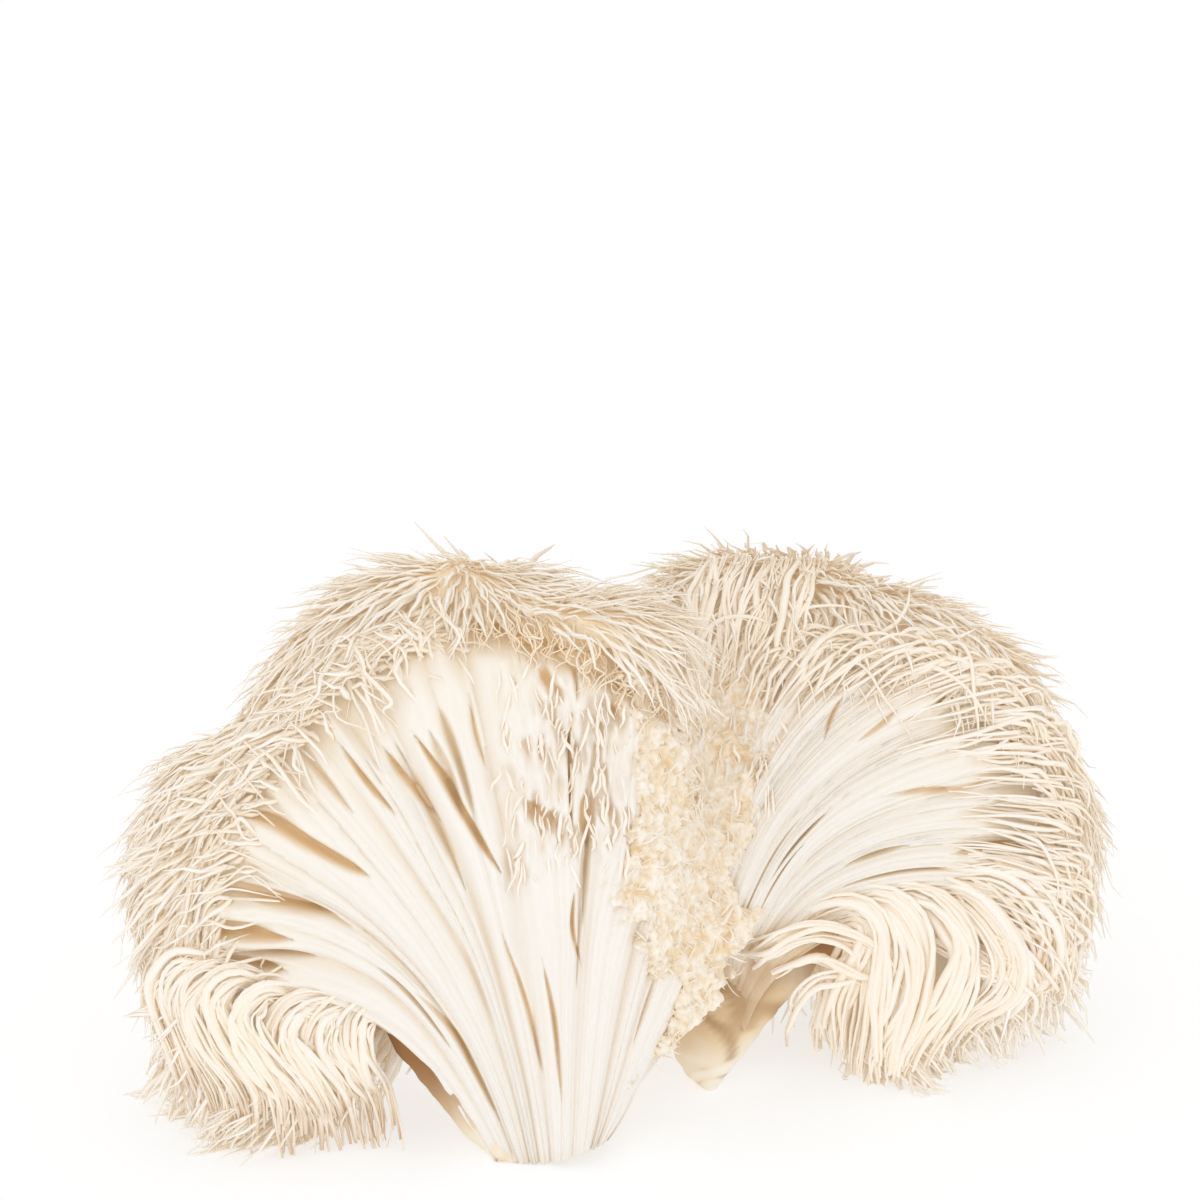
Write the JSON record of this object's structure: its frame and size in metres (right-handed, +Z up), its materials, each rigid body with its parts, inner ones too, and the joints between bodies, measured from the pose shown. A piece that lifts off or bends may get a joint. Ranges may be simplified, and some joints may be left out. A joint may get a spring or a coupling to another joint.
{
  "type": "lions mane mushroom",
  "caption": "Pale shaggy fungus torn open down the middle: two spread fans of white fibrous flesh with hanging spines round their rims and backs, still joined by a ragged ridge of torn flesh.",
  "frame": {"origin": "on the floor, under the centre of the bounding box", "axes": "+Z is up, +X runs from the left half to the right half, and both torn faces look towards -Y"},
  "size_m": [0.1819, 0.0947, 0.1068],
  "materials": {
    "spines": "soft matte, cream with tan hollows",
    "torn_flesh": "soft matte, fibrous white",
    "foot_skin": "smooth matte, tan to brown"
  },
  "bodies": {
    "root": {"mushroom": "spines"}
  },
  "joints": []
}
